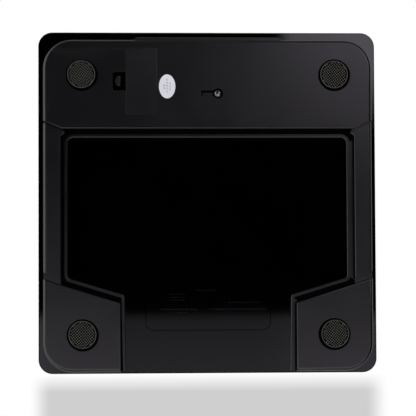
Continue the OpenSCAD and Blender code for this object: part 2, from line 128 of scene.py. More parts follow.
def grown(points, amounts):
    """Anticlockwise outline with each edge moved outward by its own amount."""
    out = []
    n = len(points)
    for i, (x, y) in enumerate(points):
        t0 = unit(x - points[i - 1][0], y - points[i - 1][1])
        t1 = unit(points[(i + 1) % n][0] - x, points[(i + 1) % n][1] - y)
        n0, n1 = (t0[1], -t0[0]), (t1[1], -t1[0])
        a0, a1 = amounts[i - 1], amounts[i]
        det = n0[0] * n1[1] - n0[1] * n1[0]
        if abs(det) < 0.02:
            m = unit(n0[0] + n1[0], n0[1] + n1[1])
            out.append((x + m[0] * (a0 + a1) / 2, y + m[1] * (a0 + a1) / 2))
        else:
            out.append((x + (a0 * n1[1] - a1 * n0[1]) / det, y + (n0[0] * a1 - n1[0] * a0) / det))
    return out


def circle(x, y, r, n=64):
    return [(x + r * math.cos(2 * math.pi * k / n), y + r * math.sin(2 * math.pi * k / n)) for k in range(n)]


def slope(r, d):
    """How far a rounded edge of radius r lies inside its straight wall at depth d."""
    return r - math.sqrt(max(0.0, r * r - (r - d) ** 2)) if d < r else 0.0


# ---------------------------------------------------------------- meshes

class Shape:
    """Vertices and faces of one piece, in millimetres."""

    def __init__(self):
        self.verts, self.faces = [], []
        # Faces that get the dark coarse material: painted shade in recesses and tucked-away corners
        self.painted_shade = []
        self.cap_start = 0

    def paint_shade_from(self, first):
        """Faces made since there were first of them get the dark coarse material: painted shade on inner faces.
        """
        self.painted_shade += range(first, len(self.faces))

    def ring(self, points, z):
        first = len(self.verts)
        self.verts += [(x, y, z) for x, y in points]
        return list(range(first, first + len(points)))

    def wall(self, low, high, inward=False):
        """Faces between two rings, the second above the first, looking out of the outline or into it."""
        n = len(low)
        for i in range(n):
            j = (i + 1) % n
            face = [low[i], low[j], high[j], high[i]]
            self.faces.append(face[::-1] if inward else face)

    def cap(self, rings, up):
        """Flat face inside the first ring, around the other rings."""
        flat = [i for r in rings for i in r]
        loops = [[Vector((*self.verts[i][:2], 0)) for i in r] for r in rings]
        for tri in tessellate_polygon(loops):
            a, b, c = (self.verts[flat[k]] for k in tri)
            rising = (b[0] - a[0]) * (c[1] - a[1]) - (b[1] - a[1]) * (c[0] - a[0]) > 0
            tri = [flat[k] for k in tri]
            self.faces.append(tri if rising == up else tri[::-1])

    def panel(self, points, toward):
        """One flat face through 3-D points, looking along toward."""
        first = len(self.verts)
        self.verts += [tuple(p) for p in points]
        a, b, c = (Vector(p) for p in points[:3])
        face = list(range(first, first + len(points)))
        self.faces.append(face if (b - a).cross(c - b).dot(Vector(toward)) > 0 else face[::-1])

    def sheet(self, x0, x1, y0, y1, z, up=False):
        """Level rectangle, looking down unless up is set."""
        self.panel([(x0, y0, z), (x1, y0, z), (x1, y1, z), (x0, y1, z)], (0, 0, 1 if up else -1))

    def island(self, corners, face, top, radii, drafts, foot, holes=()):
        """Block whose lower edges are rounded and whose walls lean in towards its lower face."""
        points, kinds = rounded(corners)
        big = max(radii.values())
        levels = [face + s * big for s in STEPS] if big else [face]
        levels += [z for z in (foot, top) if z > levels[-1] + 0.01]
        rings = []
        for z in levels:
            amounts = [-slope(radii[k], z - face) - drafts[k] * max(0, foot - z) for k in kinds]
            rings.append(self.ring(grown(points, amounts), z))
        for low, high, z in zip(rings, rings[1:], levels):
            made = len(self.faces)
            self.wall(low, high)
            # Deep inner and groove walls get the dark coarse material: painted shade
            self.painted_shade += [made + i for i, k in enumerate(kinds)
                            if k in ("inner", "groove") and z - face >= radii[k] * 0.9]
        self.cap_start = len(self.faces)
        self.cap([rings[0], *holes], up=False)
        return rings[-1]

    def hole(self, points, face, depth, r):
        """Wall of a hole with a rounded mouth; gives back its first and its last ring."""
        levels = [face + r * s for s in (0, 0.05, 0.2, 0.5, 1)] + [depth]
        rings = [self.ring(grown(points, [slope(r, z - face)] * len(points)), z) for z in levels]
        for low, high in zip(rings[:-1], rings[1:-1]):
            self.wall(low, high, inward=True)
        # The deepest part of the wall gets the dark coarse material: painted shade
        first = len(self.faces)
        self.wall(rings[-2], rings[-1], inward=True)
        self.paint_shade_from(first)
        return rings[0], rings[-1]

    def lathe(self, x, y, profile, n=64):
        """Surface turned about the vertical at x, y; its (radius, z) points go from the axis out and up."""
        rings = [self.ring(circle(x, y, max(r, 0.001), n), z) for r, z in profile]
        for low, high in zip(rings, rings[1:]):
            self.wall(low, high)

    def extrude_y(self, profile, y0, y1):
        """Bar along y of an (x, z) profile."""
        first = len(self.verts)
        n = len(profile)
        self.verts += [(x, y0, z) for x, z in profile] + [(x, y1, z) for x, z in profile]
        loop = [Vector((x, z, 0)) for x, z in profile]
        area = sum(a.x * b.y - b.x * a.y for a, b in zip(loop, loop[1:] + loop[:1]))
        for i in range(n):
            j = (i + 1) % n
            face = [first + i, first + n + i, first + n + j, first + j]
            self.faces.append(face if area > 0 else face[::-1])
        for tri in tessellate_polygon([loop]):
            a, b, c = (loop[k] for k in tri)
            anti = (b - a).cross(c - b).z > 0
            near = [first + k for k in tri]
            far = [first + n + k for k in tri]
            self.faces.append(near if anti else near[::-1])
            self.faces.append(far[::-1] if anti else far)

    def mirror(self, other):
        """Adds another shape and its mirror image in x."""
        for side, step in ((1, 1), (-1, -1)):
            first, at = len(self.verts), len(self.faces)
            self.verts += [(side * x, y, z) for x, y, z in other.verts]
            self.faces += [[first + i for i in f[::step]] for f in other.faces]
            self.painted_shade += [at + i for i in other.painted_shade]

    def build(self, name, body, slot, material, replaces=(), smooth=35):
        mesh = bpy.data.meshes.new(name)
        mesh.from_pydata([(x * MM, y * MM, z * MM) for x, y, z in self.verts], [], self.faces)
        mesh.update()
        mesh.polygons.foreach_set("use_smooth", [True] * len(mesh.polygons))
        mesh.set_sharp_from_angle(angle=math.radians(smooth))
        piece = bpy.data.objects.new(name, mesh)
        bpy.context.scene.collection.objects.link(piece)
        mesh.materials.append(material)
        # Recessed faces get a second, near-black material: painted shade
        if self.painted_shade:
            mesh.materials.append(LOOKS["coarse_painted_shade"])
            for i in self.painted_shade:
                mesh.polygons[i].material_index = 1
        weighted = piece.modifiers.new("even_shading", "WEIGHTED_NORMAL")
        weighted.keep_sharp = True
        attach(piece, body)
        if replaces:
            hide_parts(*replaces)


# ---------------------------------------------------------------- materials

def new_material(name):
    material = bpy.data.materials.new(name)
    material.use_nodes = True
    nodes = material.node_tree.nodes
    return material, nodes, material.node_tree.links, nodes["Principled BSDF"]


def noise(nodes, links, place, scale, detail=3.0, rough=0.5):
    node = nodes.new("ShaderNodeTexNoise")
    node.inputs["Scale"].default_value = scale
    node.inputs["Detail"].default_value = detail
    node.inputs["Roughness"].default_value = rough
    links.new(place, node.inputs["Vector"])
    return node.outputs["Fac"]


def between(nodes, links, value, low, high, out_low, out_high, kind="LINEAR"):
    """The value taken from the range low to high to the range out_low to out_high."""
    node = nodes.new("ShaderNodeMapRange")
    node.interpolation_type = kind
    for key, number in (("From Min", low), ("From Max", high), ("To Min", out_low), ("To Max", out_high)):
        node.inputs[key].default_value = number
    links.new(value, node.inputs["Value"])
    return node.outputs["Result"]


def axes(nodes, links, coordinates="Object"):
    split = nodes.new("ShaderNodeSeparateXYZ")
    links.new(nodes.new("ShaderNodeTexCoord").outputs[coordinates], split.inputs[0])
    return split.outputs


def blend(nodes, links, fac, a, b):
    node = nodes.new("ShaderNodeMix")
    node.data_type = "RGBA"
    links.new(fac, node.inputs["Factor"])
    for key, value in (("A", a), ("B", b)):
        socket = [s for s in node.inputs if s.name == key and s.type == "RGBA"][0]
        if isinstance(value, tuple):
            socket.default_value = value
        else:
            links.new(value, socket)
    return [s for s in node.outputs if s.type == "RGBA"][0]


LOOKS = {}


def finish(name, color, rough, spread=0.06, tone=0.25, cloud=35.0, grain=2200.0, relief=0.00003,
           edge_highlight=0.5, metallic=0.0, specular=0.5, transmission=0.0, ior=1.5, streak=None, valley_shade=None):
    """Adds a surface with clouded colour, uneven gloss, a fine grain and lighter edges, a painted highlight, to
    LOOKS.

    spread is how far the gloss varies and tone how far the colour does, cloud and grain are how many patches
    or grains there are to a metre, relief is the grain's height in metres, and edge_highlight is how strongly
    convex edges lighten as a painted highlight. streak is how much finer the patterns are along each axis.
    valley_shade is (z, z, colour): painted shade, the surface turns to that dark colour between the two
    heights, on the ground between raised grips where shade falls.
    """
    material, nodes, links, shader = new_material(name)
    place = nodes.new("ShaderNodeTexCoord").outputs["Object"]
    if streak:
        stretch = nodes.new("ShaderNodeMapping")
        stretch.inputs["Scale"].default_value = streak
        links.new(place, stretch.inputs["Vector"])
        place = stretch.outputs["Vector"]
    dark = tuple(c * (1 - tone) for c in color) + (1.0,)
    light = tuple(min(1.0, c * (1 + tone)) for c in color) + (1.0,)
    clouds = noise(nodes, links, place, cloud)
    mottled = blend(nodes, links, between(nodes, links, clouds, 0.35, 0.65, 0, 1), dark, light)
    # Convex edges found by pointiness are lightened: a painted highlight along the edges
    edge = between(nodes, links, nodes.new("ShaderNodeNewGeometry").outputs["Pointiness"], 0.505, 0.58, 0, edge_highlight)
    # Painted shade: the ground between raised grips turns to a dark colour above the given heights
    if valley_shade:
        low, high, ground = valley_shade
        shade_amount = between(nodes, links, axes(nodes, links)["Z"], low, high, 0, 1)
        mottled = blend(nodes, links, shade_amount, mottled, (*ground, 1.0))
    highlight_tone = tuple(min(1.0, c * 1.6 + 0.01) for c in color)
    links.new(blend(nodes, links, edge, mottled, highlight_tone + (1.0,)), shader.inputs["Base Color"])
    patches = noise(nodes, links, place, cloud * 2.3, 5.0)
    links.new(between(nodes, links, patches, 0.3, 0.7, rough - spread, rough + spread),
              shader.inputs["Roughness"])
    bump = nodes.new("ShaderNodeBump")
    bump.inputs["Strength"].default_value = 1.0
    bump.inputs["Distance"].default_value = relief
    links.new(noise(nodes, links, place, grain, 2.0, 0.6), bump.inputs["Height"])
    links.new(bump.outputs["Normal"], shader.inputs["Normal"])
    shader.inputs["Metallic"].default_value = metallic
    shader.inputs["Specular IOR Level"].default_value = specular
    shader.inputs["Transmission Weight"].default_value = transmission
    shader.inputs["IOR"].default_value = ior
    LOOKS[name] = material


finish("casing_plastic", (0.0042, 0.004, 0.0044), 0.225, 0.02, 0.12, 14, 2600, 0.000002)
# Near black, rough and almost without gloss: painted shade for recessed and tucked-away faces
finish("coarse_painted_shade", (0.0007, 0.0007, 0.0008), 0.8, 0.06, 0.3, 60, 1500, 0.00002, edge_highlight=0.0, specular=0.03)
finish("cover_plastic", (0.0062, 0.006, 0.0064), 0.235, 0.02, 0.12, 18, 2600, 0.000002)
finish("ink", (0.0003, 0.0003, 0.0003), 0.04, 0.008, 0.3, 20, 900, 0.0000005, edge_highlight=0.0)
finish("label_film", (0.0003, 0.0003, 0.0003), 0.045, 0.008, 0.3, 20, 900, 0.0000005, edge_highlight=0.0)
finish("label_edge", (0.0003, 0.0003, 0.0003), 0.8, 0.06, 0.3, 90, 2000, 0.000001, edge_highlight=0.0, specular=0.0)
finish("label_ink", (0.0012, 0.0012, 0.0013), 0.12, 0.03, 0.3, 90, 2000, 0.000001)
finish("tape", (0.012, 0.012, 0.012), 0.85, 0.05, 0.3, 300, 1800, 0.00005, edge_highlight=0.0)
finish("sticker_vinyl", (0.80, 0.80, 0.85), 0.42, 0.05, 0.03, 120, 3000, 0.000002, edge_highlight=0.0)
finish("sticker_ink", (0.42, 0.43, 0.50), 0.45, 0.05, 0.15, 400, 3000, 0.000002, edge_highlight=0.0)
finish("cell_wrap", (0.05, 0.13, 0.09), 0.28, 0.05, 0.2, 60, 1500, 0.00001)
finish("contact_nickel", (0.72, 0.70, 0.64), 0.22, 0.08, 0.1, 120, 2500, 0.000004, metallic=1)
finish("battery_wire", (0.50, 0.03, 0.03), 0.35, 0.06, 0.15, 80, 2000, 0.00001)
finish("circuit_board", (0.03, 0.17, 0.07), 0.30, 0.08, 0.2, 160, 1500, 0.00001)
finish("resin", (0.01, 0.01, 0.01), 0.22, 0.08, 0.3, 90, 700, 0.00003)
finish("tin_can", (0.62, 0.62, 0.64), 0.30, 0.08, 0.08, 90, 2500, 0.000006, metallic=1)
finish("capacitor_sleeve", (0.03, 0.04, 0.10), 0.32, 0.06, 0.2, 90, 1500, 0.00001)
finish("white_plastic", (0.74, 0.74, 0.71), 0.48, 0.06, 0.05, 60, 2200, 0.00001)
finish("button_metal", (0.17, 0.17, 0.18), 0.13, 0.05, 0.1, 200, 3000, 0.000002, metallic=1)
finish("display_glass", (0.30, 0.35, 0.31), 0.12, 0.03, 0.04, 40, 900, 0.000001, edge_highlight=0.1)
finish("display_ghost", (0.17, 0.20, 0.18), 0.18, 0.03, 0.05, 90, 900, 0.000001, edge_highlight=0.0)
finish("diffuser", (0.82, 0.86, 0.83), 0.5, 0.05, 0.04, 60, 2500, 0.00001)
finish("zebra_rubber", (0.62, 0.36, 0.40), 0.7, 0.06, 0.2, 900, 3500, 0.00002)
finish("screw_steel", (0.55, 0.55, 0.57), 0.32, 0.08, 0.1, 200, 3000, 0.000008, metallic=1)
finish("bracket_plastic", (0.035, 0.035, 0.04), 0.5, 0.06, 0.2, 40, 2200, 0.00002)
finish("sensor_steel", (0.54, 0.55, 0.57), 0.28, 0.08, 0.1, 60, 1500, 0.00001, metallic=1, streak=(1, 12, 1))
finish("gauge_seal", (0.80, 0.80, 0.78), 0.6, 0.08, 0.06, 200, 900, 0.00006)
finish("cup_plastic", (0.001, 0.001, 0.0011), 0.7, 0.06, 0.2, 60, 2400, 0.00002, edge_highlight=0.0, specular=0.05)
# The ground between the pad's grips is painted dark as shade
finish("pad_rubber", (0.13, 0.131, 0.118), 0.55, 0.06, 0.15, 160, 3200, 0.00001, edge_highlight=0.0, specular=0.05,
       valley_shade=(0.0001, 0.0003, (0.001, 0.001, 0.001)))
finish("sensor_wire", (0.50, 0.03, 0.03), 0.35, 0.06, 0.15, 80, 2000, 0.00001)
finish("glass", (0.90, 0.97, 0.95), 0.015, 0.01, 0.02, 12, 300, 0.0000002, edge_highlight=0.0, transmission=1.0, ior=1.52)
finish("glass_ink", (0.0004, 0.0005, 0.0005), 0.55, 0.05, 0.3, 20, 900, 0.0000005, edge_highlight=0.0, specular=0.0)

for part in frame["record"]["subparts"]:
    mesh = frame["nodes"][part["node"]].data
    mesh.materials.clear()
    mesh.materials.append(LOOKS[part["material_slot"]])


# ---------------------------------------------------------------- casing

RADII = {"outer": 3.0, "inner": 0.9, "groove": 0.6, "none": 0.0}
DRAFTS = {"outer": 0.0, "inner": 0.07, "groove": 0.03, "none": 0.0}


def level(d):
    return FACE + d


def key_outline():
    x, y = KEY
    reach = math.asin(KEY_SLOT / KEY_R)
    n = 40
    arc = [reach + (2 * math.pi - 2 * reach) * k / n for k in range(n + 1)]
    return [(x + KEY_R * math.cos(a), y + KEY_R * math.sin(a)) for a in arc] + [
        (KEY_END, y - KEY_SLOT), (KEY_END, y + KEY_SLOT)]


def door_outline():
    x0, x1, y0, y1 = DOOR
    low, high = LATCH_Y
    corners = [(x0, y0, 0.4, "hole"), (x1, y0, 0.4, "hole"), (x1, low, 0, "hole"),
               (LATCH_X1, low, LATCH_R, "hole"), (LATCH_X1, high, LATCH_R, "hole"),
               (x1, high, 0, "hole"), (x1, y1, 0.4, "hole"), (x0, y1, 0.4, "hole")]
    return rounded(corners, 5)[0]


def key_floor(shape):
    """Floor of the keyhole: dark coarse faces, painted shade, around the button, at the slot's ends and along
    its shaded side.
    """
    z = level(KEY_DEPTH)
    x, y = KEY
    reach = x + math.sqrt(KEY_R ** 2 - KEY_SLOT ** 2)
    start, end, shade = reach + 1, KEY_END - 1.2, y + 0.6
    shape.sheet(start, end, y - KEY_SLOT, shade, z)
    first = len(shape.faces)
    ring = shape.ring(circle(x, y, KEY_R, 40), z)
    bore = shape.ring(circle(x, y, BORE_R, 40), z)
    shape.cap([ring, bore], up=False)
    shape.wall(bore, shape.ring(circle(x, y, BORE_R, 40), level(2.4)), inward=True)
    shape.sheet(reach - 0.6, start, y - KEY_SLOT, y + KEY_SLOT, z)
    shape.sheet(start, KEY_END, shade, y + KEY_SLOT, z)
    shape.sheet(end, KEY_END, y - KEY_SLOT, shade, z)
    shape.paint_shade_from(first)


def upright(shape, a, b, d0, d1, toward):
    shape.panel([(*a, level(d0)), (*b, level(d0)), (*b, level(d1)), (*a, level(d1))], (*toward, 0))


def battery_bay(shape):
    """Ledge, walls and roof behind the battery cover, the pockets for its hooks and the latch recess, all in
    the dark coarse material as painted shade.
    """
    first = len(shape.faces)
    x0, x1, y0, y1 = DOOR
    bx0, bx1, by0, by1 = BAY
    seat, roof, pocket = level(SEAT), level(BAY_ROOF), level(POCKET_ROOF)
    gaps = [(y - POCKET_HALF, y + POCKET_HALF) for y in HOOK_Y]
    # Ledge that the cover rests on
    for a, b in ((y0, gaps[0][0]), (gaps[0][1], gaps[1][0]), (gaps[1][1], y1)):
        shape.sheet(x0, bx0, a, b, seat)
    for a, b in ((y0, by0), (by1, y1)):
        shape.sheet(bx0, x1, a, b, seat)
    for a, b in ((by0, LATCH_Y[0]), (LATCH_Y[1], by1)):
        shape.sheet(bx1, x1, a, b, seat)
    shape.sheet(bx1, LATCH_X0, *LATCH_Y, seat)
    # Bay walls and roof
    upright(shape, (bx1, by0), (bx1, by1), SEAT, BAY_ROOF, (-1, 0))
    upright(shape, (bx0, by0), (bx1, by0), SEAT, BAY_ROOF, (0, 1))
    upright(shape, (bx0, by1), (bx1, by1), SEAT, BAY_ROOF, (0, -1))
    for a, b in ((by0, gaps[0][0]), (gaps[0][1], gaps[1][0]), (gaps[1][1], by1)):
        upright(shape, (bx0, a), (bx0, b), SEAT, POCKET_ROOF, (1, 0))
    upright(shape, (bx0, by0), (bx0, by1), POCKET_ROOF, BAY_ROOF, (1, 0))
    shape.sheet(*BAY, roof)
    # Pockets for the hooks
    for a, b in gaps:
        upright(shape, (POCKET_X, a), (POCKET_X, b), SEAT, POCKET_ROOF, (1, 0))
        upright(shape, (POCKET_X, a), (bx0, a), SEAT, POCKET_ROOF, (0, 1))
        upright(shape, (POCKET_X, b), (bx0, b), SEAT, POCKET_ROOF, (0, -1))
        shape.sheet(POCKET_X, bx0, a, b, pocket)
        shape.sheet(POCKET_X, x0, a, b, seat, up=True)
    # Latch recess
    low, high = LATCH_Y
    corners = [(LATCH_X0, low, 0, "hole"), (LATCH_X1, low, LATCH_R, "hole"), (LATCH_X1, high, LATCH_R, "hole"),
               (LATCH_X0, high, 0, "hole")]
    points = rounded(corners, 5)[0]
    mouth, end = shape.ring(points, seat), shape.ring(points, level(LATCH_DEPTH))
    shape.wall(mouth, end, inward=True)
    shape.cap([end], up=False)
    shape.paint_shade_from(first)


def build_casing():
    plain = {"none": 0.0}
    shell = Shape()
    # Flange that lies against the glass, open at the user end
    w, f, b, r = HALF_W - 0.3, FRONT - 0.3, BACK + 0.3, CORNER_R - 0.3
    left = [(-x, y, rr, "inner") for x, y, rr in LIP_HALF[::-1]]
    right = [(x, y, rr, "inner") for x, y, rr in LIP_HALF[:3]]
    corners = [(LIP_HALF[3][0], b, 0, "none"), (w, b, r, "none"), (w, f, r, "none"), (-w, f, r, "none"),
               (-w, b, r, "none"), *left, *right]
    shell.island(corners, level(LIP), level(CASING_H), {"none": 0, "inner": 1.0}, {"none": 0, "inner": 0.0},
                 level(CASING_H))
    # The flange's face gets the dark coarse material: painted shade
    shell.paint_shade_from(shell.cap_start)
    lip_strip(shell)

    # Display-end band with its holes
    holes = [foot_hole(shell, *FEET[key]) for key in ("fl", "fr")]
    holes.append(shell.hole(key_outline(), FACE, level(KEY_DEPTH), 0.3)[0])
    key_floor(shell)
    holes.append(shell.hole(door_outline(), FACE, level(SEAT), 0.2)[0])
    battery_bay(shell)
    band = [(-127.7, 63.9, 0, "inner"), (127.7, 63.9, 0, "groove"), (HALF_W, 71.61, 0, "outer"),
            (HALF_W, FRONT, CORNER_R, "outer"), (-HALF_W, FRONT, CORNER_R, "outer"),
            (-HALF_W, 71.61, 0, "groove")]
    shell.island(band, FACE, level(CASING_H), RADII, DRAFTS, level(LIP), holes)

    # Step in the middle of the display end
    step = [(-66.5, 140.5, 0, "none"), (66, 140.5, 0, "none"), (66, 143.4, 0, "step"), (63, 145.9, 0, "step"),
            (-63.5, 145.9, 0, "step"), (-66.5, 143.4, 0, "none")]
    shell.island(step, level(2), level(CASING_H), {"none": 0.0, "step": 0.8}, {"none": 0, "step": 0.02},
                 level(LIP))

    side = Shape()
    # Side bar, set 2 mm higher off the floor
    bar = [(129.5, -68.15, 0, "groove"), (HALF_W, -62.36, 0, "outer"), (HALF_W, 70.53, 0, "groove"),
           (125.4, 61.6, 0, "inner"), (129.5, 57.8, 0, "inner")]
    side.island(bar, level(2), level(CASING_H), RADII, DRAFTS, level(LIP))
    # Rear pod
    hole = foot_hole(side, *FEET["rr"])
    pod = [(77, BACK, 0, "outer"), (HALF_W, BACK, CORNER_R, "outer"), (HALF_W, -67.43, 0, "inner"),
           (77, -88.9, 2, "inner")]
    side.island(pod, FACE, level(CASING_H), RADII, DRAFTS, level(LIP), [hole])
    # Floors of the two grooves
    edge = HALF_W - 0.05
    for groove in ([(127, 61), (edge, 69), (edge, 73.5), (129, 67)],
                   [(130.2, -74), (edge, -69), (edge, -61), (130.2, -66.5)]):
        side.island([(x, y, 0, "none") for x, y in groove], level(4), level(CASING_H), plain, plain, level(LIP))
    shell.mirror(side)
    shell.build("casing_shell", "base", "casing_plastic", LOOKS["casing_plastic"], ["casing"])


def lip_strip(shell):
    """Smooth strip of the flange along the glass opening; the rest of its face is coarse and dark, painted
    shade.

    On the -x side two more smooth panels reach from the strip to the casing's walls and leave the painted shade
    off there.
    """
    loop = LIP_HALF[::-1] + [(-x, y, r) for x, y, r in LIP_HALF]
    points, kinds = rounded([(*p, "lip") for p in loop[:-1]] + [(*loop[-1], "open")])
    near, far = (shell.ring(grown(points, [d if k == "lip" else 0 for k in kinds]), level(LIP) - 0.01)
                 for d in STRIP)
    for i, kind in enumerate(kinds):
        if kind == "lip":
            j = (i + 1) % len(points)
            shell.faces.append([near[i], near[j], far[j], far[i]])
    for strip in ([(-126.4, 53), (-130.6, 57), (-130.6, -70), (-126.4, -66.5)],
                  [(-76, -85.2), (-79.5, -88), (-79.5, -149.4), (-75.2, -149.4)]):
        shell.panel([(x, y, level(LIP) - 0.02) for x, y in strip], (0, 0, -1))


def foot_hole(shape, x, y):
    """Hole for a foot: a narrow mouth and a wider well behind it, dark and coarse as painted shade."""
    x, y = x + HOLE_SHIFT[0], y + HOLE_SHIFT[1]
    mouth, low = shape.hole(circle(x, y, HOLE_R), FACE, level(HOLE_DEPTH), 0.35)
    first = len(shape.faces)
    wide = shape.ring(circle(x, y, WELL_R), level(HOLE_DEPTH))
    top = shape.ring(circle(x, y, WELL_R), level(WELL_DEPTH))
    shape.wall(low, wide, inward=True)
    shape.wall(wide, top, inward=True)
    shape.paint_shade_from(first)
    return mouth


build_casing()


# ---------------------------------------------------------------- battery cover

def arc_angles(n):
    return [math.pi * k / n for k in range(n + 1)]


def build_cover():
    panel = Shape()
    x0, x1 = DOOR[0] + COVER_GAP, DOOR[1] - COVER_GAP
    y0, y1 = DOOR[2] + COVER_GAP, DOOR[3] - COVER_GAP
    corners = [(x0, y0, 0, "edge"), (x1, y0, 0, "edge"), (x1, y1, 0, "edge"), (x0, y1, 0, "bead")]
    points, kinds = rounded(corners)
    # The edge along the hooks is a full bead, the others are lightly rounded
    half = 0.65
    depths = [0, 0.02, 0.06, 0.12, 0.2, 0.3, 0.45, 0.65, 0.85, 1.0, 1.1, 1.18, 1.24, 1.28, 1.3]
    rings = []
    for d in depths:
        bead = half - math.sqrt(max(0.0, half ** 2 - (half - d) ** 2))
        insets = [-bead if k == "bead" else -slope(0.3, d) for k in kinds]
        rings.append(panel.ring(grown(points, insets), level(d)))
    for low, high in zip(rings, rings[1:]):
        panel.wall(low, high)
    panel.cap([rings[0]], up=False)
    panel.cap([rings[-1]], up=True)
    for y in HOOK_Y:
        for a, b, low, high in ((45.35, 46.85, 1.1, 2.3), (43.5, 46.85, 1.75, 2.55)):
            panel.extrude_y([(a, level(low)), (b, level(low)), (b, level(high)), (a, level(high))],
                            y - 2.5, y + 2.5)
    # Spring latch: a U of the cover's own plastic with a D-shaped finger tab
    bend_x, bend_z, inside, outside = 75, 3.3, 1.6, 2.6
    profile = [(72.4, level(0.15)), (73.4, level(0.15))]
    profile += [(bend_x - inside * math.cos(a), level(bend_z + inside * math.sin(a))) for a in arc_angles(12)]
    profile += [(76.6, level(0.9)), (77.6, level(0.9))]
    profile += [(bend_x + outside * math.cos(a), level(bend_z + outside * math.sin(a))) for a in arc_angles(16)]
    first = len(panel.faces)
    panel.extrude_y(profile, LATCH_MID - 4, LATCH_MID + 4)
    # The U gets the dark coarse material: painted shade in the latch recess
    panel.paint_shade_from(first)
    tab_x = 77.4
    tab = [(tab_x, LATCH_MID - 4.6, 0, "tab")]
    tab += [(tab_x + 4.3 * math.cos(a), LATCH_MID + 4.7 * math.sin(a), 0, "tab")
            for a in (math.radians(-80 + 10 * k) for k in range(17))]
    tab += [(tab_x, LATCH_MID + 4.6, 0, "tab")]
    top = panel.island(tab, level(0.6), level(1.6), {"tab": 0.35}, {"tab": 0.0}, level(1.6))
    panel.cap([top], up=True)
    panel.build("cover_panel", "cover", "cover_plastic", LOOKS["cover_plastic"], ["battery_cover"], smooth=30)


def build_cover_marks():
    """Raised grip lines, and three short bars that mark the latch."""
    marks = Shape()
    foot, crest = level(0.02), level(-0.1)
    for k in range(5):
        y = 130.4 - 1.3 * k
        marks.extrude_y([(48.5, foot), (48.7, crest), (69.3, crest), (69.5, foot)], y - 0.2, y + 0.2)
    for x in (70.3, 68.2, 66.1):
        bar = [(x - 0.45, 104.6, 0, "edge"), (x + 0.45, 104.6, 0, "edge"), (x + 0.45, 109.2, 0, "edge"),
               (x - 0.45, 109.2, 0, "edge")]
        marks.island(bar, level(-0.12), foot, {"edge": 0.1}, {"edge": 0.0}, foot)
    marks.build("cover_marks", "cover", "cover_plastic", LOOKS["cover_plastic"], smooth=20)


build_cover()
build_cover_marks()


# ---------------------------------------------------------------- button, feet, glass

def build_button():
    dome = Shape()
    radius, middle, rim, flange, stem = 5.1, 5.5, 2.9, 4.1, 1.5
    angles = [math.asin(rim / radius) * k / 12 for k in range(13)]
    profile = [(radius * math.sin(a), level(middle - radius * math.cos(a))) for a in angles]
    profile += [(rim, level(2.7)), (flange, level(2.7)), (flange, level(3.3)), (stem, level(3.3)),
                (stem, level(3.9)), (0, level(3.9))]
    dome.lathe(*KEY, profile, 48)
    dome.build("button_dome", "button", "button_metal", LOOKS["button_metal"], ["unit_button"], smooth=40)


def build_pad(key, turn):
    """Pad with a low rim and staggered rows of small raised grips, turned by an angle in degrees."""
    x, y = FEET[key]
    pad = Shape()
    profile = [(0, 0.6), (11.3, 0.6), (11.4, 0.36), (11.6, 0.18), (11.95, 0.16), (12.15, 0.24), (12.28, 0.42),
               (12.32, 0.7), (12.32, 2.6), (12.2, 2.8), (0, 2.8)]
    pad.lathe(x, y, profile, 72)
    along, between_rows = GRIP_PITCH
    c, s = math.cos(math.radians(turn)), math.sin(math.radians(turn))
    # A grip is a four-sided diamond that tapers from its foot in the pad down to the floor
    diamonds = [([(a, 0), (0, b), (-a, 0), (0, -b)], z) for a, b, z in (
        (along * 0.21, between_rows * 0.39, 0.0), (along * 0.30, between_rows * 0.51, 0.62))]
    field = 10.9
    rows, columns = int(22 / between_rows) + 2, int(11 / along) + 1
    for j in range(-rows // 2, rows // 2 + 1):
        for i in range(-columns, columns + 1):
            u, v = (i + 0.5 * (j % 2)) * along, j * between_rows
            if math.hypot(u, v) > field:
                continue
            first = len(pad.verts)
            for ring, z in diamonds:
                pad.verts += [(x + c * (u + a) - s * (v + b), y + s * (u + a) + c * (v + b), z)
                              for a, b in ring]
            pad.faces.append([first + 3, first + 2, first + 1, first])
            for k in range(4):
                n = (k + 1) % 4
                pad.faces.append([first + k, first + n, first + 4 + n, first + 4 + k])
    pad.build("pad_" + key, "base", "pad_rubber", LOOKS["pad_rubber"], ["foot_pad_" + key], smooth=28)


def glass_skin(edge):
    """Walls along the glass's outline through (inset, height above its underside) points, and their rings."""
    skin = Shape()
    half_x, half_y, r, low = GLASS
    corners = [(half_x, half_y, r, "edge"), (-half_x, half_y, r, "edge"), (-half_x, -half_y, r, "edge"),
               (half_x, -half_y, r, "edge")]
    points, _ = rounded(corners, 12)
    rings = [skin.ring(grown(points, [-inset] * len(points)), low + z) for inset, z in edge]
    for below, above in zip(rings, rings[1:]):
        skin.wall(below, above)
    return skin, rings


def build_glass():
    plate, rings = glass_skin([(0.80, 0.02), (0.5, 0.16), (0.24, 0.42), (0.07, 0.72), (0.0, 1.05),
                               (0.0, 4.95), (0.07, 5.28), (0.24, 5.58), (0.5, 5.84), (0.80, 6.0)])
    plate.cap([rings[-1]], up=True)
    plate.cap([rings[0]], up=False)
    plate.build("glass_top", "base", "glass", LOOKS["glass"], ["glass_plate"], smooth=40)


def build_glass_wrap():
    """The printed ink where it runs out over the ground lower edge of the glass."""
    wrap, _ = glass_skin([(0.82, -0.1), (0.55, 0.06), (0.28, 0.32), (0.06, 0.66), (0.0, 1.0)])
    wrap.build("glass_edge_ink", "base", "ink", LOOKS["glass_ink"], smooth=50)


build_button()
for foot, angle in (("fl", 8), ("fr", -8), ("rl", -6), ("rr", 5)):
    build_pad(foot, angle)
build_glass()
build_glass_wrap()


# ---------------------------------------------------------------- label, sticker, display

def line_loop(shape, corners, width, z):
    """A closed line of one width, facing down."""
    points, _ = rounded(corners, 8)
    outer = shape.ring(grown(points, [width / 2] * len(points)), z)
    inner = shape.ring(grown(points, [-width / 2] * len(points)), z)
    shape.cap([outer, inner], up=False)


